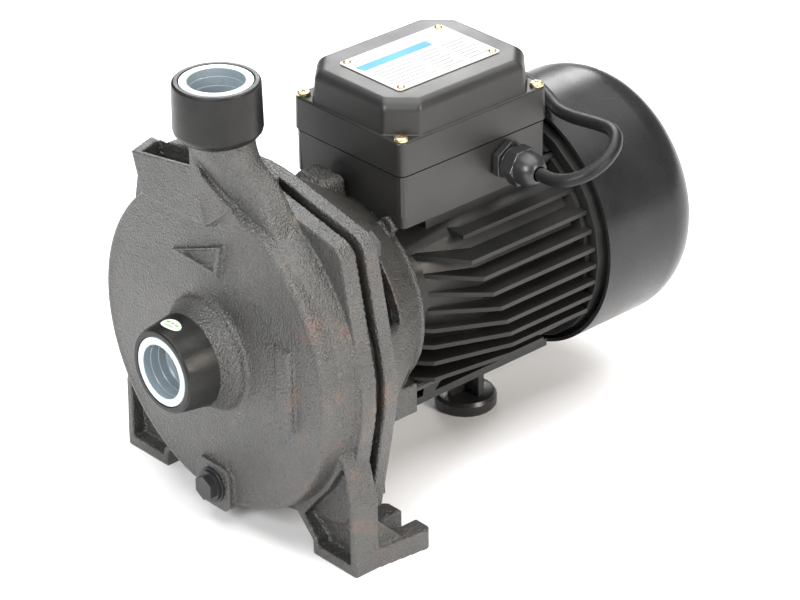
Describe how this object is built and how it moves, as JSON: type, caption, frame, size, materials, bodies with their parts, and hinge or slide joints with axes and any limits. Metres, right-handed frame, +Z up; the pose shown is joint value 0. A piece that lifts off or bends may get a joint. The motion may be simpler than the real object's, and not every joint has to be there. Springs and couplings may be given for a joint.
{
  "type": "centrifugal water pump",
  "caption": "Close-coupled single-stage centrifugal water pump: cast volute casing with side suction and top discharge ports, finned motor, terminal box, fan cover and cord.",
  "frame": {"origin": "on the floor plane under the middle of the pump's bounding box, cord left out", "axes": "+Z up, +Y along the shaft from the suction port towards the fan, +X to the right as seen from the suction side"},
  "size_m": [0.2689, 0.316, 0.2455],
  "materials": {
    "cast_iron": "black paint on rough sand-cast iron, semi-gloss",
    "satin_aluminium": "satin black painted metal",
    "black_plastic": "satin black moulded plastic",
    "bright_steel": "ground or zinc-plated steel",
    "dark_steel": "blackened steel",
    "zinc_yellow": "yellow-passivated zinc plating",
    "yellow_metal": "plain brass",
    "copper_wire": "lacquered copper winding",
    "milky_plastic": "translucent milky plastic",
    "black_rubber": "black rubber",
    "pale_aluminium": "plain aluminium",
    "ceramic": "fired ceramic",
    "graphite": "carbon-graphite",
    "pale_plastic": "off-white moulded plastic",
    "cord_black": "black flexible sheath"
  },
  "bodies": {
    "pump_body": {"pump_casing": "cast_iron", "drain_plug_washer": "dark_steel", "drain_plug": "dark_steel", "motor_bracket": "cast_iron", "casing_gasket": "black_rubber", "casing_bolt_1": "dark_steel", "casing_bolt_2": "dark_steel", "casing_bolt_3": "dark_steel", "casing_bolt_4": "dark_steel", "seal_seat": "ceramic", "front_bearing": "bright_steel", "rear_bearing": "bright_steel", "stator_core": "bright_steel", "winding_front": "copper_wire", "winding_rear": "copper_wire", "motor_frame": "satin_aluminium", "rear_end_shield": "pale_aluminium", "bearing_wave_washer": "bright_steel", "tie_rod_1": "dark_steel", "tie_rod_2": "dark_steel", "tie_rod_3": "dark_steel", "tie_rod_4": "dark_steel", "fan_cover": "satin_aluminium", "cover_screw_1": "dark_steel", "cover_screw_2": "dark_steel", "terminal_box_base": "black_plastic", "terminal_box_gasket": "black_rubber", "terminal_box_lid": "black_plastic", "lid_screw_1": "zinc_yellow", "lid_screw_2": "zinc_yellow", "lid_screw_3": "zinc_yellow", "lid_screw_4": "zinc_yellow", "nameplate": "pale_aluminium", "nameplate_rivet_1": "yellow_metal", "nameplate_rivet_2": "yellow_metal", "nameplate_rivet_3": "yellow_metal", "nameplate_rivet_4": "yellow_metal", "terminal_block": "pale_plastic", "run_capacitor": "pale_plastic", "cable_gland_body": "black_plastic", "cable_gland_nut": "black_plastic", "supply_cord_lead": "cord_black", "supply_cord_coil": "cord_black", "supply_cord_tail": "cord_black", "mains_plug": "cord_black", "motor_support_foot": "black_plastic", "support_foot_screw": "zinc_yellow"},
    "rotor": {"motor_shaft": "bright_steel", "impeller_key": "bright_steel", "impeller": "yellow_metal", "impeller_nut": "bright_steel", "seal_rotating_head": "graphite", "seal_spring": "bright_steel", "water_slinger": "black_rubber", "rotor_core": "pale_aluminium", "cooling_fan": "black_plastic", "fan_clip": "bright_steel"},
    "suction_cap": {"suction_port_cap": "milky_plastic"},
    "discharge_cap": {"discharge_port_cap": "milky_plastic"}
  },
  "joints": [
    {"name": "rotor_spin", "type": "hinge", "parent": "pump_body", "child": "rotor", "pos_m": [0, 0, 0.0993], "axis": [0, -1, 0], "continuous": true},
    {"name": "suction_cap_pull", "type": "slide", "parent": "pump_body", "child": "suction_cap", "axis": [0, -1, 0], "range_m": [0, 0.03]},
    {"name": "discharge_cap_pull", "type": "slide", "parent": "pump_body", "child": "discharge_cap", "axis": [0, 0, 1], "range_m": [0, 0.03]}
  ]
}
